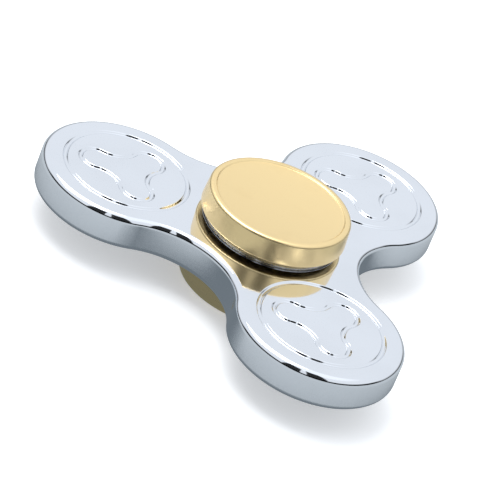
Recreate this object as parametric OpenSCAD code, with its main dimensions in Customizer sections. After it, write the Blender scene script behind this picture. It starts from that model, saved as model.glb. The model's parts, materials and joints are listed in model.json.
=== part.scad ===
// Three-lobed fidget spinner: a plated cast body turning on a deep-groove ball bearing,
// with two round finger caps clamped to the bearing's inner race.
// The spin axis is Z and the origin is on it, half-way through the body's thickness.

/* [Body] */
// Distance from the spin axis to the centre of a lobe
arm_reach = 24; // [20:0.5:30]
// Radius of each round lobe
lobe_r = 13.6; // [11.2:0.1:16.5]
// Thickness of the body
body_t = 5.8; // [4.6:0.1:7]
// Wall left between the bearing and the bottom of each bay
waist_wall = 4.3; // [3.4:0.1:5.4]
// Rounding of the body's upper and lower edges
edge_r = 1.1; // [0.4:0.1:2]
// How much larger that rounding is along the bays than round the lobes
bay_edge_more = 0.1; // [0.05:0.05:0.2]
// Chamfer at both mouths of the bearing's bore
mouth_chamfer = 0.3; // [0.1:0.05:0.5]

/* [Engraving] */
// Width of the engraved grooves at the surface
groove_w = 0.85; // [0.5:0.05:1.1]
// Depth of the engraved grooves
groove_d = 0.3; // [0.1:0.05:0.5]
// From a lobe's edge to the middle of its ring groove
ring_inset = 3.6; // [2.9:0.1:4.4]
// From the ring groove to the tips of the three-armed figure, middle to middle
figure_gap = 2.34; // [1.8:0.02:2.9]
// Radius of the figure's rounded tips
figure_tip_r = 2.57; // [2.1:0.01:3.1]
// Distance from the figure's centre to the middle of its hollow sides
figure_waist = 3.49; // [2.9:0.01:4.2]

/* [Bearing] */
// Bore of the inner race
bearing_bore = 8; // [6.6:0.1:9.6]
// Outside diameter of the outer race
bearing_od = 22; // [18.4:0.1:26.4]
// Width of both races
bearing_w = 7; // [5.8:0.1:8.4]
// Number of balls
ball_count = 7; // [6:1:7]
// Diameter of the balls
ball_d = 3.969; // [3.3:0.001:4.77]
// Free space between the lands of the two races
race_gap = 2.95; // [2.5:0.05:3.2]
// Chamfer on the races' corners
race_chamfer = 0.3; // [0.1:0.05:0.4]
// Running clearance between a ball and its raceways
ball_clear = 0.04; // [0.02:0.01:0.08]

/* [Cage] */
// Sheet thickness of the two cage halves
cage_t = 0.25; // [0.2:0.05:0.3]
// Radial width of the cage
cage_w = 1.7; // [1.4:0.1:2]
// Clearance between a ball and its pocket
pocket_clear = 0.08; // [0.05:0.01:0.1]
// Least gap between the cage and a shield
cage_gap = 0.15; // [0.1:0.05:0.3]
// Shank radius of the cage rivets
rivet_r = 0.3; // [0.25:0.05:0.35]
// Head radius of the cage rivets
rivet_head_r = 0.5; // [0.4:0.05:0.5]
// Head height of the cage rivets
rivet_head_h = 0.2; // [0.15:0.05:0.25]

/* [Shields] */
// Sheet thickness of the shields
shield_t = 0.25; // [0.2:0.05:0.3]
// Depth of the seat turned into the outer race for a shield
seat_depth = 0.6; // [0.5:0.05:0.7]
// Gap between a shield and the inner race
shield_clear = 0.3; // [0.2:0.05:0.4]
// How far the middle of a shield stands out from its flange
shield_rise = 0.2; // [0.1:0.05:0.3]
// Width of a shield's flat flange
flange_w = 0.5; // [0.4:0.05:0.6]
// Thickness of the retaining clips
clip_t = 0.35; // [0.25:0.05:0.4]
// Radial width of the retaining clips
clip_w = 0.5; // [0.4:0.05:0.6]
// How far a clip reaches into its groove in the outer race
clip_bite = 0.2; // [0.15:0.05:0.25]
// From the race's end face to the clip
clip_inset = 0.1; // [0.05:0.05:0.2]
// Open angle of the clips
clip_open = 24; // [15:1:40]

/* [Caps] */
// Diameter of the finger caps at their underside
cap_d = 23.8; // [19.9:0.1:28.5]
// How much smaller a cap's radius is at its rim
cap_taper = 0.3; // [0:0.05:0.6]
// Height of a cap from its underside to its rim
cap_t = 3.9; // [3.3:0.1:4.8]
// Height of the shoulder that lifts a cap off the bearing
cap_lift = 0.55; // [0.4:0.05:0.8]
// Radial width of the shoulder that clamps the inner race
shoulder_w = 1.5; // [1.2:0.1:1.8]
// Rounding of a cap's outer edge
cap_edge_r = 0.5; // [0.3:0.05:0.8]
// Rounding of a cap's inner edge, next to the body
cap_foot_r = 0.3; // [0.1:0.05:0.5]
// Width of the flat rim round the finger dish
rim_w = 0.5; // [0.4:0.05:0.9]
// Drop of the bevel inside the rim
rim_step = 0.18; // [0.1:0.02:0.3]
// Depth of the hollow below the bevel
dish_depth = 0.35; // [0.2:0.05:0.6]
// Space between the ends of the two caps' bosses
boss_gap = 0.2; // [0.1:0.05:0.4]

/* [Screw] */
// Outside diameter of the threaded stud that joins the caps
screw_d = 4; // [3.3:0.1:4.8]
// Length of the stud
screw_len = 8; // [6.7:0.1:9.6]
// Space left past each end of the stud
screw_end = 1; // [0.5:0.1:1.5]
// Size across the flats of the stud's hexagon socket
socket_af = 2; // [1.5:0.1:2.2]
// Depth of the hexagon socket
socket_depth = 2; // [1.5:0.1:2.5]
// Chamfer on the stud's ends
screw_chamfer = 0.3; // [0.2:0.05:0.5]

/* [Hidden] */
lobes = 3;
arc_steps = 6; // straight steps in each rounded edge
over = 0.5; // how far a cutter runs past the face it cuts
$fn = 96;
side_run = 2; // degrees that the figure's hollow sides run into its tips
side_trim = 0.02; // how much finer the groove is along the hollow sides

lobe_step = 360 / lobes;
half_step = lobe_step / 2;
half_body = body_t / 2;
body_edge = min(edge_r, half_body - bay_edge_more - groove_d);
bay_edge = body_edge + bay_edge_more;
lap = 0.03; // how far the sides of the bays run inside a lobe's edge, so that they cross it

// Outline of rounded lobes joined by hollow sides: reach is from the middle to a lobe's centre,
// r the lobe's radius and waist from the middle to the bottom of a hollow. hollow_reach is from
// the middle to the centre of a hollow's arc, and joint_angle is where that arc meets the lobe.
function hollow_reach(reach, r, waist) =
    (pow(reach, 2) - pow(r - waist, 2)) / (2 * (reach * cos(half_step) + r - waist));
function hollow_r(reach, r, waist) = hollow_reach(reach, r, waist) - waist;
function joint_angle(reach, out) = atan2(out * sin(half_step), out * cos(half_step) - reach);
function arc(x, y, r, from, to) =
    [for (i = [0:arc_steps]) let (a = from + (to - from) * i / arc_steps) [x + r * cos(a), y + r * sin(a)]];

bore_r = bearing_od / 2;
waist = bore_r + waist_wall;
bay_reach = hollow_reach(arm_reach, lobe_r - lap, waist);
bay_r = hollow_r(arm_reach, lobe_r - lap, waist);
lobe_angle = joint_angle(arm_reach, bay_reach);

ring_r = lobe_r - ring_inset;
tip_reach = ring_r - figure_gap - figure_tip_r;
side_reach = hollow_reach(tip_reach, figure_tip_r, figure_waist);
side_r = hollow_r(tip_reach, figure_tip_r, figure_waist);
tip_angle = joint_angle(tip_reach, side_reach);

half_race = bearing_w / 2;
pitch_r = (bearing_bore + bearing_od) / 4;
ball_r = ball_d / 2;
ball_step = 360 / ball_count;
inner_land_r = pitch_r - race_gap / 2;
outer_land_r = pitch_r + race_gap / 2;
seat_r = outer_land_r + seat_depth;
clip_z = half_race - clip_inset - clip_t;
seat_z = clip_z - shield_t;
pocket_r = ball_r + pocket_clear;
cage_h = min(pocket_r + cage_t, seat_z - cage_gap);

cap_r = cap_d / 2;
cap_z = max(half_race, half_body) + cap_lift;
cap_top = cap_z + cap_t;
boss_r = bearing_bore / 2;
rim_out_r = cap_r - cap_taper - cap_edge_r;
rim_in_r = rim_out_r - rim_w;
dish_r = rim_in_r - rim_step;
screw_r = screw_d / 2;
screw_half = screw_len / 2;

// Puts its children on every lobe, with X pointing outwards
module on_lobes(first = 0) {
    for (i = [0:lobes - 1]) rotate([0, 0, first + i * lobe_step]) children();
}

// Its children, and their mirror image below the middle plane
module both_faces() {
    children();
    mirror([0, 0, 1]) children();
}

// Outline of the body: round lobes joined by hollow bays
module outline() {
    difference() {
        polygon([for (i = [0:2 * lobes - 1]) let (r = i % 2 == 0 ? arm_reach : bay_reach)
            [r * cos(half_step * (i + 1)), r * sin(half_step * (i + 1))]]);
        on_lobes() translate([bay_reach, 0]) circle(r = bay_r);
    }
    on_lobes(half_step) translate([arm_reach, 0]) circle(r = lobe_r);
}

// What rounding by r takes off the upper edge of a wall at radius edge. The wall's outside is cut
// when side is 1 and its bore when side is -1. Both ends run on past the wall and the face.
module rounding(edge, r, side) {
    steps = [for (i = [0:arc_steps]) let (a = 90 * i / arc_steps)
        [edge + side * r * (cos(a) - 1), half_body + r * (sin(a) - 1)]];
    low = 1.5 * steps[0] - 0.5 * steps[1];
    high = 1.5 * steps[arc_steps] - 0.5 * steps[arc_steps - 1];
    polygon(concat(
        [low], [for (i = [1:arc_steps - 1]) steps[i]], [high],
        [[high[0], half_body + over], [edge + side * over, half_body + over], [edge + side * over, low[1]]]
    ));
}

// Rounded edge round the outside of one lobe, from bay to bay
module lobe_rounding() {
    translate([arm_reach, 0, 0])
        rotate([0, 0, -lobe_angle])
            rotate_extrude(angle = 2 * lobe_angle) rounding(lobe_r, body_edge, 1);
}

module bay_rounding() {
    translate([bay_reach, 0, 0]) rotate_extrude() rounding(bay_r, bay_edge, -1);
}

module bore_cutter() {
    mouth = bore_r + mouth_chamfer;
    rotate_extrude()
        polygon([
            [0, -half_body - over], [mouth, -half_body - over], [mouth, -half_body],
            [bore_r, mouth_chamfer - half_body], [bore_r, half_body - mouth_chamfer],
            [mouth, half_body], [mouth, half_body + over], [0, half_body + over]
        ]);
}

// A stretch of groove on the upper face, from one angle to another round its centre.
// A positive trim makes it finer all round, so that its ends lie inside the groove it runs into.
module groove(r, from = 0, to = 360, trim = 0) {
    mouth = groove_w / 2 - trim;
    floor_w = groove_w / 6 - trim;
    depth = groove_d - trim;
    translate([0, 0, half_body])
        rotate([0, 0, from])
            rotate_extrude(angle = to - from)
                translate([r, 0])
                    polygon([
                        [-mouth, over], [-mouth, 0], [-floor_w, -depth],
                        [floor_w, -depth], [mouth, 0], [mouth, over]
                    ]);
}

// Three-armed figure engraved in the middle of a lobe
module figure() {
    side_from = 180 + half_step - tip_angle - side_run;
    translate([arm_reach, 0, 0]) {
        on_lobes() translate([tip_reach, 0, 0]) groove(figure_tip_r, -tip_angle, tip_angle);
        on_lobes(half_step) translate([side_reach, 0, 0])
            groove(side_r, side_from, 360 - side_from, side_trim);
    }
}

// Plain plate of the body's outline, with its edges rounded along the bays and then the lobes
module blank() {
    difference() {
        difference() {
            linear_extrude(body_t, center = true) outline();
            both_faces() on_lobes() bay_rounding();
        }
        both_faces() on_lobes(half_step) lobe_rounding();
    }
}

module body() {
    color("gainsboro")
        difference() {
            difference() {
                blank();
                bore_cutter();
                both_faces() on_lobes(half_step) figure();
            }
            both_faces() on_lobes(half_step) translate([arm_reach, 0, 0]) groove(ring_r);
        }
}

// Ring of the given radii, centred on the middle plane
module tube(inner, outer, height) {
    difference() {
        cylinder(r = outer, h = height, center = true);
        cylinder(r = inner, h = height + 2 * over, center = true);
    }
}

module raceway() {
    rotate_extrude() translate([pitch_r, 0]) circle(r = ball_r + ball_clear);
}

// The same points below the middle plane, in reverse, to close a symmetric section
function flip(points) = [for (i = [len(points) - 1:-1:0]) [points[i][0], -points[i][1]]];

module bearing_outer_race() {
    groove_r = seat_r + clip_bite;
    upper = concat(
        [[outer_land_r, seat_z], [seat_r, seat_z], [seat_r, clip_z], [groove_r, clip_z]],
        [[groove_r, clip_z + clip_t], [seat_r, clip_z + clip_t], [seat_r, half_race]],
        [[bore_r - race_chamfer, half_race], [bore_r, half_race - race_chamfer]]
    );
    color("dimgray")
        difference() {
            rotate_extrude() polygon(concat(upper, flip(upper)));
            raceway();
        }
}

module bearing_inner_race() {
    upper = [
        [boss_r, half_race - race_chamfer], [boss_r + race_chamfer, half_race],
        [inner_land_r - race_chamfer, half_race], [inner_land_r, half_race - race_chamfer]
    ];
    color("silver")
        difference() {
            rotate_extrude() polygon(concat(upper, flip(upper)));
            raceway();
        }
}

module ball(i) {
    color("white")
        rotate([0, 0, (i - 1) * ball_step]) translate([pitch_r, 0, 0]) sphere(r = ball_r);
}

module at_balls(turn = 0) {
    for (i = [0:ball_count - 1]) rotate([0, 0, turn + i * ball_step]) translate([pitch_r, 0, 0]) children();
}

// Pressed half of the cage: flat webs between domed pockets
module cage_half() {
    difference() {
        intersection() {
            translate([0, 0, cage_h / 2]) tube(pitch_r - cage_w / 2, pitch_r + cage_w / 2, cage_h);
            union() {
                cylinder(r = bore_r, h = cage_t);
                at_balls() sphere(r = pocket_r + cage_t);
            }
        }
        at_balls() sphere(r = pocket_r);
        at_balls(ball_step / 2) cylinder(r = rivet_r, h = 2 * cage_t + over, center = true);
    }
}

module cage_upper() {
    color("lightsteelblue") cage_half();
}

module cage_lower() {
    color("lightsteelblue") mirror([0, 0, 1]) cage_half();
}

module cage_rivets() {
    color("slategray")
        at_balls(ball_step / 2) {
            cylinder(r = rivet_r, h = 2 * cage_t, center = true);
            both_faces() translate([0, 0, cage_t]) cylinder(r = rivet_head_r, h = rivet_head_h);
        }
}

// Pressed shield: a flange seated in the outer race and a raised middle
module shield() {
    flange_r = seat_r - flange_w;
    rise_r = flange_r - shield_rise;
    hole_r = inner_land_r + shield_clear;
    rotate_extrude()
        translate([0, seat_z])
            polygon([
                [seat_r, 0], [seat_r, shield_t], [flange_r, shield_t], [rise_r, shield_t + shield_rise],
                [hole_r, shield_t + shield_rise], [hole_r, shield_rise], [rise_r, shield_rise], [flange_r, 0]
            ]);
}

module shield_upper() {
    color("darkgray") shield();
}

module shield_lower() {
    color("darkgray") mirror([0, 0, 1]) shield();
}

// Open spring ring that holds a shield in its seat
module clip() {
    rotate([0, 0, clip_open / 2])
        rotate_extrude(angle = 360 - clip_open)
            translate([seat_r + clip_bite - clip_w, clip_z]) square([clip_w, clip_t]);
}

module clip_upper() {
    color("gray") clip();
}

module clip_lower() {
    color("gray") mirror([0, 0, 1]) rotate([0, 0, half_step]) clip();
}

// Finger cap: dished button, clamping shoulder and tapped boss, turned from one bar
module cap() {
    tap_end = screw_half + screw_end;
    dish_floor = cap_top - rim_step - dish_depth;
    dish_ball_r = (pow(dish_r, 2) + pow(dish_depth, 2)) / (2 * dish_depth);
    rotate_extrude()
        polygon(concat(
            [[0, tap_end], [screw_r, tap_end], [screw_r, boss_gap / 2], [boss_r, boss_gap / 2]],
            [[boss_r, half_race], [boss_r + shoulder_w, half_race], [boss_r + shoulder_w, cap_z]],
            arc(cap_r - cap_foot_r, cap_z + cap_foot_r, cap_foot_r, 270, 360),
            arc(rim_out_r, cap_top - cap_edge_r, cap_edge_r, 0, 90),
            [[rim_in_r, cap_top]],
            arc(0, dish_floor + dish_ball_r, dish_ball_r, asin(dish_r / dish_ball_r) - 90, -90)
        ));
}

module top_cap() {
    color([0.87, 0.75, 0.47]) cap();
}

module bottom_cap() {
    color([0.87, 0.75, 0.47]) mirror([0, 0, 1]) cap();
}

// Headless screw that draws the two caps together, with a hexagon socket in its lower end
module cap_screw() {
    tip_r = screw_r - screw_chamfer;
    color("dimgray")
        difference() {
            rotate_extrude()
                polygon([
                    [0, -screw_half], [tip_r, -screw_half], [screw_r, screw_chamfer - screw_half],
                    [screw_r, screw_half - screw_chamfer], [tip_r, screw_half], [0, screw_half]
                ]);
            translate([0, 0, -screw_half - over])
                cylinder(d = socket_af / cos(30), h = socket_depth + over, $fn = 6);
        }
}

body();
bearing_outer_race();
bearing_inner_race();
for (i = [1:ball_count]) ball(i);
cage_upper();
cage_lower();
cage_rivets();
shield_upper();
shield_lower();
clip_upper();
clip_lower();
top_cap();
bottom_cap();
cap_screw();
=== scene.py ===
"""Looks, stage and camera for a plated three-lobed finger spinner, built round its fixed frame.

Lengths are in metres, and every piece lies where the frame has it, with its object at the origin.
"""

import json
import math

import bpy
from bpy.props import FloatProperty, FloatVectorProperty, IntProperty, PointerProperty
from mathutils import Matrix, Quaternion, Vector, geometry

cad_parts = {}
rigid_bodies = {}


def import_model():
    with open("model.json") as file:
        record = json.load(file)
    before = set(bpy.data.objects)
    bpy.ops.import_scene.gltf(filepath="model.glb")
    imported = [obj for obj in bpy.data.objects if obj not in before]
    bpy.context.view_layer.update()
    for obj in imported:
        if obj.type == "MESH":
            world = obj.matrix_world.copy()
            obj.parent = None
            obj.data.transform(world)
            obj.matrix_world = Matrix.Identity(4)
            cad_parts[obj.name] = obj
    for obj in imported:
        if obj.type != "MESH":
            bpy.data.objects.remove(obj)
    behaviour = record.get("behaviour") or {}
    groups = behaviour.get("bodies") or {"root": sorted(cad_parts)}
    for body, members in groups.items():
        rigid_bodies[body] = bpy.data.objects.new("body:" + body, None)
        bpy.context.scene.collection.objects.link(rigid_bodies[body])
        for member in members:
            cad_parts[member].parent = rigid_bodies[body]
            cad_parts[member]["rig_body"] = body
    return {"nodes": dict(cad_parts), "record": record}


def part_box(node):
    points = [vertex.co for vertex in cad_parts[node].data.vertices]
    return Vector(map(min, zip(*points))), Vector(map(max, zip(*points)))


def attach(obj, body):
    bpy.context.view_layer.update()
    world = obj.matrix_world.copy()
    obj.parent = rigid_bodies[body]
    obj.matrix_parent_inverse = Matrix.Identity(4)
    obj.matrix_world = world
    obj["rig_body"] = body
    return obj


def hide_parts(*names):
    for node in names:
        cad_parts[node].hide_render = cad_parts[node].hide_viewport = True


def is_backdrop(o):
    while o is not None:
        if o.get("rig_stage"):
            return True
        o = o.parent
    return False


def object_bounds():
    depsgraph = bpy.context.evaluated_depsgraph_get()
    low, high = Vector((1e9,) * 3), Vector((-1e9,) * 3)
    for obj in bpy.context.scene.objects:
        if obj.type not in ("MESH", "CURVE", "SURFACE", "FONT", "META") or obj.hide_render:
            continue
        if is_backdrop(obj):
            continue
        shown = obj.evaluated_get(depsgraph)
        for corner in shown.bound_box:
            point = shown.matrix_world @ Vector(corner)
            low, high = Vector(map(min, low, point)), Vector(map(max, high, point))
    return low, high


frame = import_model()
cad_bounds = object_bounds()

bl_info = {
    "name": "Finger Spinner",
    "version": (1, 0, 0),
    "blender": (4, 5, 0),
    "location": "View3D > Sidebar > Spinner",
    "description": "Plated body, brass finger caps and ball bearing of a three-lobed spinner",
    "category": "Object",
}

MM = 0.001
TURN = 2 * math.pi
LOBES = 3
LOBE_STEP = TURN / LOBES
DISH_STEPS = 24
RIVET_HEAD_STEPS = 6
RIVET_STEPS_ROUND = 20
WELD = 0.0005 * MM
FLOOR_REACH = 3.0
CAMERA_CLIP = (0.01, 20.0)
RECORD_COLOURS = {m["slot"]: (*m["base_color"], 1.0) for m in frame["record"]["materials"]}
BALLS = [name for name in frame["nodes"] if name.startswith("ball_")]


def length(name, description, default_mm):
    """A length that is given in millimetres and kept in metres."""
    return FloatProperty(name=name, description=description, default=default_mm * MM, min=0.0,
                         precision=5, unit="LENGTH")


def colour(name, description, default):
    return FloatVectorProperty(name=name, description=description, default=default, size=4,
                               min=0.0, max=1.0, subtype="COLOR")


def share(name, description, default):
    """A number from 0 to 1."""
    return FloatProperty(name=name, description=description, default=default, min=0.0, max=1.0,
                         subtype="FACTOR")


def angle(name, description, degrees):
    return FloatProperty(name=name, description=description, default=math.radians(degrees),
                         subtype="ANGLE")


# Sizes and colours ------------------------------------------------------------------------------

class SpinnerBodySizes(bpy.types.PropertyGroup):
    waist_wall: length("Waist Wall", "Wall between the bearing and the bottom of each bay", 4.3)
    edge_round: length("Edge Rounding", "Radius of the outer edges", 1.1)
    mouth_round: length("Mouth Rounding", "Radius of the edge of the bearing's bore", 0.3)
    groove_half: length("Groove Half Width", "Half the width of an engraved groove, lips included", 0.5)
    groove_floor: length("Groove Floor", "Half the width of a groove's floor", 0.1)
    groove_depth: length("Groove Depth", "Depth of the engraved grooves", 0.3)
    ring_inset: length("Ring Inset", "From a lobe's edge to the middle of its ring groove", 3.6)
    figure_gap: length("Figure Gap", "From the ring groove to the figure's tips", 2.34)
    figure_tip: length("Figure Tip Radius", "Radius of the figure's round tips", 2.57)
    figure_waist: length("Figure Waist", "From the figure's centre to its hollow sides", 3.49)
    outline_steps: IntProperty(name="Outline Steps", description="Steps round one lobe's edge",
                               default=96, min=24)
    edge_steps: IntProperty(name="Edge Steps", description="Steps across a rounded edge",
                            default=10, min=4)


class SpinnerTurnedSizes(bpy.types.PropertyGroup):
    cap_height: length("Cap Height", "From a cap's underside to its rim", 3.9)
    cap_taper: length("Cap Taper", "How much smaller a cap's radius is at its rim", 0.3)
    cap_edge: length("Cap Edge Rounding", "Radius of a cap's outer edge", 0.5)
    cap_foot: length("Cap Foot Rounding", "Radius of a cap's inner edge", 0.3)
    rim_width: length("Rim Width", "Width of the flat rim round the dish", 0.5)
    rim_step: length("Rim Step", "Drop of the bevel inside the rim", 0.18)
    dish_depth: length("Dish Depth", "Depth of the hollow below the bevel", 0.35)
    shoulder_width: length("Shoulder Width", "Width of the shoulder on the inner race", 1.5)
    boss_radius: length("Boss Radius", "Radius of the boss in the inner race", 4.0)
    tap_radius: length("Tap Radius", "Radius of the tapped hole in a cap", 2.0)
    tap_end: length("Tap End", "From the middle plane to the bottom of the tapped hole", 5.0)
    lip: length("Lip", "Radius of a turned piece's small broken edges", 0.06)
    rivet_radius: length("Rivet Radius", "Radius of a cage rivet's shank", 0.3)
    rivet_head: length("Rivet Head Radius", "Radius of a cage rivet's head", 0.5)
    rivet_rise: length("Rivet Head Height", "Height of a cage rivet's head", 0.2)
    steps_round: IntProperty(name="Steps Round", description="Steps round a turned piece",
                             default=192, min=24)


class SpinnerFinishes(bpy.types.PropertyGroup):
    plating: colour("Plating", "Colour of the bright plating", RECORD_COLOURS["plated_body"])
    brass: colour("Brass", "Colour of the finger caps", (1.0, 0.77, 0.40, 1.0))
    race: colour("Races", "Colour of the ground races", (0.46, 0.46, 0.46, 1.0))
    ball: colour("Balls", "Colour of the balls", RECORD_COLOURS["ball_steel"])
    cage: colour("Cage", "Colour of the pressed cage", RECORD_COLOURS["cage_steel"])
    rivet: colour("Rivets", "Colour of the cage rivets", RECORD_COLOURS["rivet_steel"])
    shield: colour("Shields", "Colour of the shields", RECORD_COLOURS["shield_steel"])
    clip: colour("Clips", "Colour of the retaining clips", RECORD_COLOURS["clip_steel"])
    screw: colour("Screw", "Colour of the blackened screw", RECORD_COLOURS["screw_steel"])
    plating_rough: share("Plating Roughness", "Roughness of the plating between its marks", 0.05)
    brass_rough: share("Brass Roughness", "Roughness of the satin brass", 0.3)


class SpinnerStageSettings(bpy.types.PropertyGroup):
    azimuth: angle("Azimuth", "Direction of the camera round the object", -1.845)
    elevation: angle("Elevation", "Height of the camera above the horizon", 31.74)
    roll: angle("Roll", "Tilt of the camera about its own axis", 22.47)
    distance: length("Distance", "From the camera to the point that it aims at", 500.3)
    lens: FloatProperty(name="Lens", description="Focal length of the camera", default=234.8,
                        min=10.0, unit="CAMERA")
    aim_x: FloatProperty(name="Aim X", description="Aim point along X", default=-1.88 * MM,
                         unit="LENGTH")
    aim_y: FloatProperty(name="Aim Y", description="Aim point along Y", default=-8.64 * MM,
                         unit="LENGTH")
    floor: colour("Floor", "Colour of the floor", (0.94, 0.94, 0.94, 1.0))
    # Painted reflection: the blue-grey floor colour that polished metal sees, darker than the floor the
    # camera sees.
    floor_far: colour("Painted Floor Reflection", "Colour that polished metal sees in the open floor",
                      (0.57, 0.62, 0.66, 1.0))
    # Painted shadow: the darker floor colour that polished metal sees close beneath the object.
    floor_near: colour("Painted Shadow In Gloss", "Colour that polished metal sees close beneath it",
                       (0.17, 0.20, 0.225, 1.0))
    floor_glow: share("Floor Glow", "How much light the floor gives by itself", 0.4)
    # Reach of the painted shadow that polished metal sees on the floor beneath the object.
    shelter: length("Painted Shadow Reach", "How near the object has to be to darken the floor seen in gloss", 18.0)
    sky_colour: colour("Sky Colour", "Colour of the surrounding light", (0.89, 0.935, 1.0, 1.0))
    sky: FloatProperty(name="Sky", description="Strength of the surrounding light", default=1.0,
                       min=0.0)
    band_darkness: share("Band Darkness", "How dark the low band in front is", 0.93)
    card_darkness: share("Card Darkness", "How dark the two cards in front are", 0.97)
    card_reach: share("Card Reach", "Sideways reach of the cards, as a share of their distance", 0.62)
    card_gap: share("Card Gap", "Half the gap between the cards, as a share of their distance", 0.09)
    card_shift: share("Card Shift", "How far the gap lies to the side, as a share of their distance", 0.02)
    card_top: share("Card Top", "Top edge of the cards, where 1 is straight up", 0.90)
    lamp: FloatProperty(name="Lamp", description="Power of the soft overhead lamp", default=3.0,
                        min=0.0, unit="POWER")
    lamp_size: length("Lamp Size", "Side of the soft overhead lamp", 500.0)
    lamp_place: FloatVectorProperty(name="Lamp Place", description="Where the overhead lamp hangs",
                                    default=(-0.25, 0.1, 0.7), subtype="TRANSLATION")


class SpinnerSettings(bpy.types.PropertyGroup):
    body: PointerProperty(type=SpinnerBodySizes, name="Body", description="Sizes of the body")
    turned: PointerProperty(type=SpinnerTurnedSizes, name="Turned Pieces",
                            description="Sizes of the caps and rivets")
    finish: PointerProperty(type=SpinnerFinishes, name="Finishes",
                            description="Colours and roughness of the metals")
    stage: PointerProperty(type=SpinnerStageSettings, name="Stage",
                           description="Camera, floor and light")


# Node trees -------------------------------------------------------------------------------------

class Wire:
    """An output in a node tree. Arithmetic on it adds Math nodes to that tree."""

    def __init__(self, graph, socket):
        self.graph = graph
        self.socket = socket

    def math(self, operation, *values):
        return self.graph.node("ShaderNodeMath", {"operation": operation}, dict(enumerate(values)))

    def __add__(self, other):
        return self.math("ADD", self, other)

    def __radd__(self, other):
        return self.math("ADD", other, self)

    def __sub__(self, other):
        return self.math("SUBTRACT", self, other)

    def __rsub__(self, other):
        return self.math("SUBTRACT", other, self)

    def __mul__(self, other):
        return self.math("MULTIPLY", self, other)

    def __rmul__(self, other):
        return self.math("MULTIPLY", other, self)

    def __truediv__(self, other):
        return self.math("DIVIDE", self, other)

    def __rtruediv__(self, other):
        return self.math("DIVIDE", other, self)

    def __pow__(self, other):
        return self.math("POWER", self, other)

    def __abs__(self):
        return self.math("ABSOLUTE", self)

    def __round__(self):
        return self.math("ROUND", self)


class Graph:
    """A shader, world or geometry tree that nodes are added to."""

    def __init__(self, tree):
        self.tree = tree

    def node(self, kind, settings=(), values=(), out=0):
        """Adds a node: its settings first, then numbers or wires for its sockets. Returns one output."""
        made = self.tree.nodes.new(kind)
        for name, value in dict(settings).items():
            setattr(made, name, value)
        for name, value in dict(values).items():
            if isinstance(value, Wire):
                self.tree.links.new(value.socket, made.inputs[name])
            else:
                made.inputs[name].default_value = value
        return Wire(self, made.outputs[out]) if made.outputs else None

    def ease(self, value, low, high):
        """0 below low, 1 above high and a smooth step between them."""
        return self.node("ShaderNodeMapRange", {"interpolation_type": "SMOOTHSTEP"},
                         {"Value": value, "From Min": low, "From Max": high})

    def blend(self, factor, first, second):
        """Mix of two colours."""
        return self.node("ShaderNodeMix", {"data_type": "RGBA"}, {0: factor, 6: first, 7: second}, 2)

    def vector(self, x, y, z):
        return self.node("ShaderNodeCombineXYZ", (), {0: x, 1: y, 2: z})

    def split(self, vector):
        return [self.node("ShaderNodeSeparateXYZ", (), {0: vector}, out) for out in range(3)]

    def noise(self, vector, scale, detail=2.0, roughness=0.5):
        """Noise whose features are about 1 / scale metres across."""
        return self.node("ShaderNodeTexNoise", {"noise_dimensions": "3D"},
                         {"Vector": vector, "Scale": scale, "Detail": detail, "Roughness": roughness})


# Finishes ---------------------------------------------------------------------------------------

def metal(name, surface):
    """A metal. surface takes the graph and the object coordinates and gives the wires of the shader."""
    material = bpy.data.materials.new(name)
    material.use_nodes = True
    material.node_tree.nodes.clear()
    graph = Graph(material.node_tree)
    place = graph.node("ShaderNodeTexCoord", out="Object")
    sockets = {"Metallic": 1.0, **surface(graph, place)}
    shader = graph.node("ShaderNodeBsdfPrincipled", (), sockets)
    graph.node("ShaderNodeOutputMaterial", (), {"Surface": shader})
    return material


def bump(graph, height, depth):
    return graph.node("ShaderNodeBump", (), {"Height": height, "Distance": depth, "Strength": 1.0})


def shade(base, amount):
    """The same colour, darker below 1 and lighter above it."""
    return (*[min(1.0, c * amount) for c in base[:3]], 1.0)


def about_axis(graph, place):
    """Distance from Z, and the coordinates of a pattern that runs in rings round Z."""
    x, y, z = graph.split(place)
    radius = (x * x + y * y) ** 0.5
    return radius, graph.vector(radius, 0.0, z)


def hairlines(graph, place, turn, width, run):
    """Sparse straight scratches of the given width and run, turned about Z."""
    turned = graph.node("ShaderNodeMapping", (), {
        "Vector": place, "Rotation": (0.0, 0.0, turn), "Scale": (1 / width, 1 / run, 1 / run)})
    return graph.ease(graph.noise(turned, 1.0, detail=1.0), 0.70, 0.80)


def plating_finish(looks):
    """Bright plating over a polished casting: faint haze, wipe marks, tiny pits and a slight ripple."""
    def surface(graph, place):
        haze = graph.ease(graph.noise(place, 90.0, detail=4.0), 0.42, 0.72)
        wipes = hairlines(graph, place, turn=0.5, width=0.18 * MM, run=14 * MM)
        marks = hairlines(graph, place, turn=2.1, width=0.12 * MM, run=9 * MM)
        ripple = graph.noise(place, 320.0)
        pits = graph.ease(graph.noise(place, 5200.0, detail=1.0), 0.76, 0.84)
        height = ripple - (wipes + marks) * 0.15 - pits * 0.5
        return {
            "Base Color": graph.blend(haze, looks.plating, shade(looks.plating, 0.965)),
            "Roughness": looks.plating_rough + haze * 0.03 + (wipes + marks) * 0.06 + pits * 0.1,
            "Normal": bump(graph, height, depth=0.0025 * MM),
        }
    return metal("Mirror plating", surface)


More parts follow.
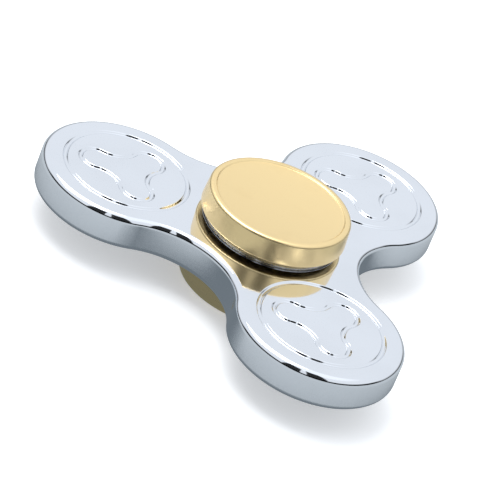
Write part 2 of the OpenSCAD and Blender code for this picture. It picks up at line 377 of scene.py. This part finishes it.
def brass_finish(looks, cap_radius):
    """Satin brass with turning marks round the axis, handling smudges, specks and polished edges."""
    def surface(graph, place):
        radius, rings = about_axis(graph, place)
        fine = graph.noise(rings, 9000.0)
        broad = graph.noise(rings, 1300.0)
        smudge = graph.ease(graph.noise(place, 160.0, detail=4.0), 0.50, 0.80)
        speck = graph.ease(graph.noise(place, 4200.0), 0.70, 0.80)
        wear_starts, wear_full = cap_radius - 0.9 * MM, cap_radius - 0.2 * MM
        edge = graph.ease(radius, wear_starts, wear_full)
        dull = shade(looks.brass, 0.90)
        toned = graph.blend(smudge * 0.7, looks.brass, dull)
        return {
            "Base Color": graph.blend(speck * 0.5, toned, shade(looks.brass, 0.6)),
            "Roughness": looks.brass_rough + fine * 0.08 + smudge * 0.07 - edge * 0.05,
            "Normal": bump(graph, fine * 0.6 + broad * 0.4 - speck * 0.3, depth=0.0035 * MM),
        }
    return metal("Turned brass", surface)


def ground_finish(name, base, rough, speckle):
    """Ground or pressed steel: marks round the axis, with darker specks where speckle is above 0."""
    def surface(graph, place):
        _, rings = about_axis(graph, place)
        fine = graph.noise(rings, 12000.0)
        cloud = graph.ease(graph.noise(place, 400.0, detail=3.0), 0.35, 0.7)
        speck = graph.ease(graph.noise(place, 4800.0, detail=3.0, roughness=0.6), 0.50, 0.64)
        toned = graph.blend(cloud, base, shade(base, 0.8))
        return {
            "Base Color": graph.blend(speck * speckle, toned, shade(base, 0.2)),
            "Roughness": rough + fine * 0.12 + speck * (0.3 * speckle),
            "Normal": bump(graph, fine - speck * speckle, depth=0.004 * MM),
        }
    return metal(name, surface)


# Mesh building ----------------------------------------------------------------------------------

def circle(centre, radius, steps):
    """Points and outward directions round a circle, anticlockwise."""
    ways = [Vector((math.cos(TURN * i / steps), math.sin(TURN * i / steps))) for i in range(steps)]
    return [(centre + radius * way, way) for way in ways]


def lobed_outline(centre, turn, reach, lobe_radius, waist, lobe_steps, bay_steps):
    """Points and outward directions round three lobes joined by hollow arcs, anticlockwise."""
    half = LOBE_STEP / 2
    spare = lobe_radius - waist
    bay_reach = (reach ** 2 - spare ** 2) / (2 * (reach * math.cos(half) + spare))
    bay_radius = bay_reach - waist
    joint = math.atan2(bay_reach * math.sin(half), bay_reach * math.cos(half) - reach)
    outline = []
    for lobe in range(LOBES):
        out = turn + lobe * LOBE_STEP
        middle = centre + reach * Vector((math.cos(out), math.sin(out)))
        for i in range(lobe_steps + 1):
            a = out - joint + 2 * joint * i / lobe_steps
            way = Vector((math.cos(a), math.sin(a)))
            outline.append((middle + lobe_radius * way, way))
        bay = centre + bay_reach * Vector((math.cos(out + half), math.sin(out + half)))
        first = out + joint + math.pi
        sweep = LOBE_STEP - 2 * joint
        for i in range(1, bay_steps):
            a = first + sweep * i / bay_steps
            way = Vector((math.cos(a), math.sin(a)))
            outline.append((bay + bay_radius * way, -way))
    return outline


class Shell:
    """Half of a plate that is the same above and below its middle plane, built row by row."""

    def __init__(self):
        self.points = []
        self.normals = []
        self.faces = []

    def row(self, outline, offset, z, tilt):
        """A closed row offset outwards from an outline. tilt turns its normals from Z to outwards."""
        first = len(self.points)
        for point, way in outline:
            place = point + offset * way
            self.points.append(Vector((place.x, place.y, z)))
            flat = math.sin(tilt)
            self.normals.append(Vector((flat * way.x, flat * way.y, math.cos(tilt))))
        return list(range(first, len(self.points)))

    def strip(self, outer, inner):
        """Quads between two rows, facing up, or outwards when inner lies above outer."""
        for i, corner in enumerate(outer):
            j = (i + 1) % len(outer)
            self.faces.append((corner, outer[j], inner[j], inner[i]))

    def strips(self, rows):
        for outer, inner in zip(rows, rows[1:]):
            self.strip(outer, inner)

    def plate(self, edge, holes=()):
        """Flat fill inside one row and outside the rows in it."""
        rows = [edge, *holes]
        used = [i for row in rows for i in row]
        starts = [sum(len(row) for row in rows[:n]) for n in range(len(rows))]
        loops = [list(range(start, start + len(row))) for start, row in zip(starts, rows)]
        flat = [self.points[i].xy / MM for i in used]
        points, _, faces, origins, _, inside = geometry.delaunay_2d_cdt(flat, [], loops, 1, 1e-6)
        for face, owners in zip(faces, inside):
            if owners == [0]:
                self.faces.append(tuple(used[origins[i][0]] for i in face))

    def mesh(self, name, material):
        """The whole plate: this half and its mirror image, sharing the points on the middle plane."""
        twins = {}
        points, normals = list(self.points), list(self.normals)
        for i, point in enumerate(self.points):
            twins[i] = i if point.z == 0 else len(points)
            if point.z != 0:
                points.append(Vector((point.x, point.y, -point.z)))
                normals.append(Vector((self.normals[i].x, self.normals[i].y, -self.normals[i].z)))
        lower = [tuple(twins[i] for i in reversed(face)) for face in self.faces]
        mesh = bpy.data.meshes.new(name)
        mesh.from_pydata(points, [], self.faces + lower)
        mesh.polygons.foreach_set("use_smooth", [True] * len(mesh.polygons))
        mesh.materials.append(material)
        mesh.normals_split_custom_set_from_vertices(normals)
        return mesh


def show(name, mesh):
    piece = bpy.data.objects.new(name, mesh)
    bpy.context.scene.collection.objects.link(piece)
    return piece


def place_piece(piece, body, nodes):
    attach(piece, body)
    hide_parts(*nodes)


def body_of_node(node):
    return frame["nodes"][node]["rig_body"]


def rounded(corners, steps=4):
    """A section through corners of (radius, z, rounding), with an arc at each rounded corner."""
    section = []
    for i, (r, z, bend) in enumerate(corners):
        here = Vector((r, z))
        if not bend or i in (0, len(corners) - 1):
            section.append(here)
            continue
        back = (Vector(corners[i - 1][:2]) - here).normalized()
        on = (Vector(corners[i + 1][:2]) - here).normalized()
        half = back.angle(on) / 2
        middle = here + (back + on).normalized() * bend / math.sin(half)
        first = here + back * bend / math.tan(half) - middle
        sweep = math.copysign(math.pi - 2 * half, back.cross(on))
        for k in range(steps + 1):
            a = -sweep * k / steps
            turned = Vector((first.x * math.cos(a) - first.y * math.sin(a),
                             first.x * math.sin(a) + first.y * math.cos(a)))
            section.append(middle + turned)
    return section


def dome(radius, rise, steps):
    """Points of a round dome from the middle of its top out to its rim, with its rim at zero."""
    ball = (radius ** 2 + rise ** 2) / (2 * rise)
    sweep = math.asin(radius / ball)
    tilts = [sweep * i / steps for i in range(steps + 1)]
    return [Vector((ball * math.sin(tilt), rise - ball + ball * math.cos(tilt))) for tilt in tilts]


def flip_section(section):
    """The same section below the middle plane, still running outwards along its top."""
    return [Vector((point.x, -point.y)) for point in reversed(section)]


# Geometry node trees ----------------------------------------------------------------------------

def geometry_tree(name, inputs):
    """An empty tree with a geometry input, the named inputs and a geometry output."""
    tree = bpy.data.node_groups.new(name, "GeometryNodeTree")
    tree.interface.new_socket("Geometry", in_out="INPUT", socket_type="NodeSocketGeometry")
    for label, kind in inputs:
        tree.interface.new_socket(label, in_out="INPUT", socket_type=kind)
    tree.interface.new_socket("Geometry", in_out="OUTPUT", socket_type="NodeSocketGeometry")
    graph = Graph(tree)
    group = tree.nodes.new("NodeGroupInput")
    wires = {socket.name: Wire(graph, socket) for socket in group.outputs if socket.name}
    return graph, wires


def close_tree(graph, shape, material):
    """Ends a tree with real geometry and its material."""
    real = graph.node("GeometryNodeRealizeInstances", (), {"Geometry": shape})
    painted = graph.node("GeometryNodeSetMaterial", (), {"Geometry": real, "Material": material})
    graph.node("NodeGroupOutput", (), {"Geometry": painted})
    return graph.tree


def turning_tree():
    """Turns a chain of points, in the XZ plane, round Z into a closed skin."""
    graph, given = geometry_tree("Turned skin", [
        ("Steps Round", "NodeSocketInt"), ("Weld Distance", "NodeSocketFloat"),
        ("Material", "NodeSocketMaterial")])
    steps = given["Steps Round"]
    count = graph.node("GeometryNodeAttributeDomainSize", {"component": "MESH"},
                       {"Geometry": given["Geometry"]})
    grid = graph.node("GeometryNodeMeshGrid", (), {
        "Size X": count - 1, "Size Y": steps, "Vertices X": count, "Vertices Y": steps + 1})
    along, across, _ = graph.split(graph.node("GeometryNodeInputPosition"))
    row = round(along + (count - 1) / 2)
    point = graph.node("GeometryNodeSampleIndex", {"data_type": "FLOAT_VECTOR"}, {
        "Geometry": given["Geometry"], "Value": graph.node("GeometryNodeInputPosition"), "Index": row})
    spun = graph.node("ShaderNodeVectorRotate", {"rotation_type": "Z_AXIS"},
                      {"Vector": point, "Angle": (across / steps + 0.5) * TURN})
    skin = graph.node("GeometryNodeSetPosition", (), {"Geometry": grid, "Position": spun})
    closed = graph.node("GeometryNodeMergeByDistance", (),
                        {"Geometry": skin, "Distance": given["Weld Distance"]})
    smooth = graph.node("GeometryNodeSetShadeSmooth", (), {"Geometry": closed})
    return close_tree(graph, smooth, given["Material"])


def ring_tree():
    """Copies its geometry round Z, the same way up, on a ring of the given radius."""
    graph, given = geometry_tree("Ring of rivets", [
        ("Count", "NodeSocketInt"), ("Ring Radius", "NodeSocketFloat"), ("Turn", "NodeSocketFloat"),
        ("Material", "NodeSocketMaterial")])
    ring = graph.node("GeometryNodeMeshCircle", (),
                      {"Vertices": given["Count"], "Radius": given["Ring Radius"]})
    turned = graph.node("GeometryNodeTransform", (), {
        "Geometry": ring, "Rotation": graph.vector(0.0, 0.0, given["Turn"])})
    copies = graph.node("GeometryNodeInstanceOnPoints", (),
                        {"Points": turned, "Instance": given["Geometry"]})
    return close_tree(graph, copies, given["Material"])


def grown(name, mesh, tree, inputs, weigh=False):
    """The plain mesh that a tree makes of a mesh, with its named inputs set."""
    worker = show(name + " worker", mesh)
    modifier = worker.modifiers.new("Grow", "NODES")
    modifier.node_group = tree
    for item in tree.interface.items_tree:
        if item.in_out == "INPUT" and item.name in inputs:
            modifier[item.identifier] = inputs[item.name]
    if weigh:
        worker.modifiers.new("Weigh", "WEIGHTED_NORMAL").keep_sharp = True
    bpy.context.view_layer.update()
    evaluated = worker.evaluated_get(bpy.context.evaluated_depsgraph_get())
    made = bpy.data.meshes.new_from_object(evaluated)
    made.name = name
    bpy.data.objects.remove(worker)
    return made


def turned_mesh(name, section, steps, material):
    """Skin of a turned piece from its section, which runs outwards along the top and back below."""
    chain = bpy.data.meshes.new(name + " section")
    links = [(i, i + 1) for i in range(len(section) - 1)]
    chain.from_pydata([(p.x, 0.0, p.y) for p in section], links, [])
    inputs = {"Steps Round": steps, "Weld Distance": WELD, "Material": material}
    return grown(name, chain, turning_tree(), inputs, weigh=True)


# Pieces -----------------------------------------------------------------------------------------

def groove_rows(shell, outline, sizes, face):
    """Rows across an engraved groove, from its outer lip to its inner lip, with rounded lips."""
    width, floor, depth = sizes.groove_half, sizes.groove_floor, sizes.groove_depth
    steps = sizes.edge_steps
    offsets = [width - (width - floor) * i / steps for i in range(steps + 1)]
    rows = []
    for offset in offsets + [-offset for offset in reversed(offsets)]:
        part = (width - abs(offset)) / (width - floor)
        drop = depth * part ** 2 * (3 - 2 * part)
        slope = depth * 6 * part * (1 - part) / (width - floor) * math.copysign(1, offset)
        rows.append(shell.row(outline, offset, face - drop, -math.atan(slope)))
    return rows


def body_mesh(sizes, material):
    """Three round lobes joined by bays, rounded all round, bored for the bearing and engraved."""
    low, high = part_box("body")
    face = high.z
    arm_reach = (-low.x - high.x) / (1 - math.cos(LOBE_STEP / 2))
    lobe_radius = -low.x - arm_reach
    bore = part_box("bearing_outer_race")[1].x
    edge, steps = sizes.edge_round, sizes.edge_steps
    shell = Shell()
    origin = Vector((0.0, 0.0))
    outline = lobed_outline(origin, math.pi, arm_reach, lobe_radius, bore + sizes.waist_wall,
                            sizes.outline_steps, sizes.outline_steps // 2)

    wall = [shell.row(outline, 0.0, 0.0, math.pi / 2)]
    for i in range(steps + 1):
        tilt = math.pi / 2 * (1 - i / steps)
        wall.append(shell.row(outline, edge * (math.sin(tilt) - 1),
                              face + edge * (math.cos(tilt) - 1), tilt))
    shell.strips(wall)

    lip = sizes.mouth_round
    bore_line = circle(origin, bore, 2 * sizes.outline_steps)
    mouth = []
    for i in range(steps + 1):
        tilt = math.pi / 2 * i / steps
        mouth.append(shell.row(bore_line, lip * (1 - math.sin(tilt)),
                               face + lip * (math.cos(tilt) - 1), -tilt))
    mouth.append(shell.row(bore_line, 0.0, 0.0, -math.pi / 2))
    shell.strips(mouth)

    ring_radius = lobe_radius - sizes.ring_inset
    tip_reach = ring_radius - sizes.figure_gap - sizes.figure_tip
    rings = []
    for lobe in range(LOBES):
        out = math.pi + lobe * LOBE_STEP
        centre = arm_reach * Vector((math.cos(out), math.sin(out)))
        ring = groove_rows(shell, circle(centre, ring_radius, 2 * sizes.outline_steps), sizes, face)
        figure_line = lobed_outline(centre, out, tip_reach, sizes.figure_tip, sizes.figure_waist,
                                    sizes.outline_steps // 2, sizes.outline_steps // 3)
        figure = groove_rows(shell, figure_line, sizes, face)
        shell.strips(ring)
        shell.strips(figure)
        shell.plate(ring[-1], [figure[0]])
        shell.plate(figure[-1])
        rings.append(ring[0])
    shell.plate(wall[-1], [mouth[0], *rings])
    return shell.mesh("plated_body", material)


def cap_section(sizes):
    """Section of the upper cap, from the middle of its dish to the middle of its tapped hole."""
    low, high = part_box("top_cap")
    radius, top, boss_end = high.x, high.z, low.z
    under = top - sizes.cap_height
    race_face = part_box("bearing_inner_race")[1].z
    rim_radius = radius - sizes.cap_taper
    rim_outer = rim_radius - sizes.cap_edge
    rim_inner = rim_outer - sizes.rim_width
    dish_radius = rim_inner - sizes.rim_step
    dish_top = top - sizes.rim_step
    dish = [Vector((point.x, dish_top - point.y))
            for point in dome(dish_radius, sizes.dish_depth, DISH_STEPS)[:-1]]
    shoulder = sizes.boss_radius + sizes.shoulder_width
    corners = [
        (*dish[-1], 0), (dish_radius, dish_top, 2 * sizes.lip), (rim_inner, top, sizes.lip),
        (rim_radius, top, sizes.cap_edge), (radius, under, sizes.cap_foot), (shoulder, under, sizes.lip),
        (shoulder, race_face, sizes.lip), (sizes.boss_radius, race_face, 0),
        (sizes.boss_radius, boss_end, 2 * sizes.lip), (sizes.tap_radius, boss_end, 2 * sizes.lip),
        (sizes.tap_radius, sizes.tap_end, sizes.lip), (0.0, sizes.tap_end, 0),
    ]
    return dish[:-1] + rounded(corners)


def rivet_section(sizes):
    """Section of one rivet about its own axis, with a domed head at each end."""
    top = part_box("cage_rivets")[1].z
    seat = top - sizes.rivet_rise
    head = [Vector((point.x, seat + point.y))
            for point in dome(sizes.rivet_head, sizes.rivet_rise, RIVET_HEAD_STEPS)]
    upper = head + [Vector((sizes.rivet_radius, seat)), Vector((sizes.rivet_radius, 0.0))]
    return upper + flip_section(upper)[1:]


# Operators --------------------------------------------------------------------------------------

class SPINNER_OT_body(bpy.types.Operator):
    """Builds the plated body round the bearing"""
    bl_idname = "spinner.body"
    bl_label = "Plated Body"

    def execute(self, context):
        settings = context.scene.spinner
        mesh = body_mesh(settings.body, plating_finish(settings.finish))
        place_piece(show("plated_body", mesh), body_of_node("body"), ["body"])
        return {"FINISHED"}


class SPINNER_OT_caps(bpy.types.Operator):
    """Builds the two brass finger caps"""
    bl_idname = "spinner.caps"
    bl_label = "Finger Caps"

    def execute(self, context):
        settings = context.scene.spinner
        sizes = settings.turned
        brass = brass_finish(settings.finish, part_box("top_cap")[1].x)
        section = cap_section(sizes)
        for node, line in (("top_cap", section), ("bottom_cap", flip_section(section))):
            mesh = turned_mesh("brass_" + node, line, sizes.steps_round, brass)
            place_piece(show("brass_" + node, mesh), body_of_node(node), [node])
        return {"FINISHED"}


class SPINNER_OT_rivets(bpy.types.Operator):
    """Sets the domed rivets that join the two halves of the cage"""
    bl_idname = "spinner.rivets"
    bl_label = "Cage Rivets"

    def execute(self, context):
        settings = context.scene.spinner
        steel = ground_finish("Rivet steel", settings.finish.rivet, rough=0.3, speckle=0.1)
        low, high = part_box("ball_1")
        rivet = turned_mesh("rivet", rivet_section(settings.turned), RIVET_STEPS_ROUND, steel)
        inputs = {"Count": len(BALLS), "Ring Radius": (low.x + high.x) / 2,
                  "Turn": TURN / len(BALLS) / 2, "Material": steel}
        mesh = grown("domed_rivets", rivet, ring_tree(), inputs)
        place_piece(show("domed_rivets", mesh), body_of_node("cage_rivets"),
                    ["cage_rivets"])
        return {"FINISHED"}


class SPINNER_OT_bearing(bpy.types.Operator):
    """Gives the bearing's races, balls, cage, shields and clips their finishes"""
    bl_idname = "spinner.bearing"
    bl_label = "Bearing Finishes"

    def execute(self, context):
        looks = context.scene.spinner.finish
        finishes = (
            (("bearing_outer_race", "bearing_inner_race"),
             ground_finish("Ground race steel", looks.race, rough=0.08, speckle=0.6)),
            (BALLS, ground_finish("Lapped ball steel", looks.ball, rough=0.06, speckle=0.0)),
            (("cage_upper", "cage_lower"),
             ground_finish("Pressed cage steel", looks.cage, rough=0.3, speckle=0.15)),
            (("shield_upper", "shield_lower"),
             ground_finish("Dark shield steel", looks.shield, rough=0.3, speckle=0.3)),
            (("clip_upper", "clip_lower"),
             ground_finish("Spring clip steel", looks.clip, rough=0.3, speckle=0.1)),
            (("cap_screw",), ground_finish("Blackened screw steel", looks.screw, rough=0.4, speckle=0.2)),
        )
        for nodes, material in finishes:
            for node in nodes:
                piece = frame["nodes"][node]
                piece.data.materials.clear()
                piece.data.materials.append(material)
        return {"FINISHED"}


def floor_material(stage):
    """Pale matt floor, which polished metal sees as a painted reflection, darker than the camera sees it,
    with a painted shadow above all beneath the object.
    """
    material = bpy.data.materials.new("Pale floor")
    material.use_nodes = True
    material.node_tree.nodes.clear()
    graph = Graph(material.node_tree)
    glossy = graph.node("ShaderNodeLightPath", out="Is Glossy Ray")
    # Painted shadow: ambient occlusion darkens the floor colour that gloss rays see near the object.
    painted_shadow_clearance = graph.node("ShaderNodeAmbientOcclusion", {"samples": 12}, {"Distance": stage.shelter}, "AO")
    seen = graph.blend(graph.ease(painted_shadow_clearance, 0.74, 1.0), stage.floor_near, stage.floor_far)
    matt = graph.node("ShaderNodeBsdfDiffuse", (), {"Color": stage.floor})
    glow = graph.node("ShaderNodeEmission", (), {"Color": stage.floor, "Strength": stage.floor_glow})
    pale = graph.node("ShaderNodeAddShader", (), {0: matt, 1: glow})
    # Painted reflection and painted shadow: gloss rays get this emitted colour in place of the pale floor.
    gloss = graph.node("ShaderNodeEmission", (), {"Color": seen})
    shader = graph.node("ShaderNodeMixShader", (), {0: glossy, 1: pale, 2: gloss})
    graph.node("ShaderNodeOutputMaterial", (), {"Surface": shader})
    return material


def dark_cards(graph, stage, side, back, up):
    """Where two dark cards stand in front, side by side with a thin gap between them."""
    facing = side / (0.001 - back)
    edge, soft_edge = 0.03, 0.08
    inside = graph.ease(stage.card_reach - abs(facing), 0.0, soft_edge) * graph.ease(0.0 - back, 0.05, 0.12)
    gap = graph.ease(stage.card_gap - abs(facing + stage.card_shift), 0.0, edge)
    return inside * (1.0 - gap) * (1.0 - graph.ease(up, stage.card_top, stage.card_top + edge))


def light_surroundings(stage):
    """Soft cool light, brightest overhead, darker low down, in front and at the sides, with dark cards."""
    world = bpy.data.worlds.new("Soft studio")
    bpy.context.scene.world = world
    world.use_nodes = True
    world.node_tree.nodes.clear()
    graph = Graph(world.node_tree)
    side, back, up = graph.split(graph.node("ShaderNodeTexCoord", out="Generated"))
    overhead = graph.ease(up, 0.78, 0.93)
    front = graph.ease(0.3 - back, 0.0, 0.3)
    low = 1.0 - graph.ease(up, 0.26, 0.38)
    horizon = 1.0 - graph.ease(up, 0.04, 0.36)
    flank = graph.ease(abs(side), 0.35, 0.60)
    open_sky = 0.96 + overhead * 0.22
    band = 1.0 - front * low * stage.band_darkness
    rim = 1.0 - horizon * (0.6 + flank * 0.34)
    cards = 1.0 - dark_cards(graph, stage, side, back, up) * stage.card_darkness
    shader = graph.node("ShaderNodeBackground", (), {
        "Color": stage.sky_colour, "Strength": open_sky * band * rim * cards * stage.sky})
    graph.node("ShaderNodeOutputWorld", (), {"Surface": shader})


class SPINNER_OT_stage(bpy.types.Operator):
    """Makes the floor, the soft light and the camera"""
    bl_idname = "spinner.stage"
    bl_label = "Stage"

    def execute(self, context):
        stage = context.scene.spinner.stage
        level = cad_bounds[0].z
        ground = bpy.data.meshes.new("floor")
        corners = [(x * FLOOR_REACH, y * FLOOR_REACH, level)
                   for x, y in ((-1, -1), (1, -1), (1, 1), (-1, 1))]
        ground.from_pydata(corners, [], [(0, 1, 2, 3)])
        ground.materials.append(floor_material(stage))
        show("floor", ground)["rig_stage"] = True
        light_surroundings(stage)

        lamp = bpy.data.lights.new("Overhead lamp", "AREA")
        lamp.energy, lamp.size = stage.lamp, stage.lamp_size
        source = show("overhead_lamp", lamp)
        source.location = stage.lamp_place
        source.rotation_euler = (-source.location).to_track_quat("-Z", "Y").to_euler()

        camera = show("camera", bpy.data.cameras.new("Camera"))
        level_part = math.cos(stage.elevation)
        look = Vector((-math.sin(stage.azimuth) * level_part, math.cos(stage.azimuth) * level_part,
                       -math.sin(stage.elevation)))
        aim = Vector((stage.aim_x, stage.aim_y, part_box("body")[1].z))
        camera.location = aim - look * stage.distance
        camera.rotation_mode = "QUATERNION"
        roll = Quaternion((0.0, 0.0, 1.0), stage.roll)
        camera.rotation_quaternion = look.to_track_quat("-Z", "Y") @ roll
        camera.data.lens = stage.lens
        camera.data.clip_start, camera.data.clip_end = CAMERA_CLIP
        context.scene.camera = camera
        context.scene.view_settings.view_transform = "Standard"
        return {"FINISHED"}


class SPINNER_PT_panel(bpy.types.Panel):
    """Lists the spinner's pieces and its stage"""
    bl_idname = "SPINNER_PT_panel"
    bl_label = "Finger Spinner"
    bl_space_type = "VIEW_3D"
    bl_region_type = "UI"
    bl_category = "Spinner"

    def draw(self, context):
        for step in STEPS:
            self.layout.operator(step.bl_idname)


STEPS = (SPINNER_OT_body, SPINNER_OT_caps, SPINNER_OT_rivets, SPINNER_OT_bearing, SPINNER_OT_stage)
CLASSES = (SpinnerBodySizes, SpinnerTurnedSizes, SpinnerFinishes, SpinnerStageSettings,
           SpinnerSettings, *STEPS, SPINNER_PT_panel)


def register():
    for made in CLASSES:
        bpy.utils.register_class(made)
    bpy.types.Scene.spinner = PointerProperty(type=SpinnerSettings)


def unregister():
    del bpy.types.Scene.spinner
    for made in reversed(CLASSES):
        bpy.utils.unregister_class(made)


def main():
    register()
    bpy.ops.spinner.body()
    bpy.ops.spinner.caps()
    bpy.ops.spinner.rivets()
    bpy.ops.spinner.bearing()
    bpy.ops.spinner.stage()
    boxes = {"cad": cad_bounds, "visual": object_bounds()}
    {name: [list(corner) for corner in box] for name, box in boxes.items()}


if __name__ == "__main__":
    main()
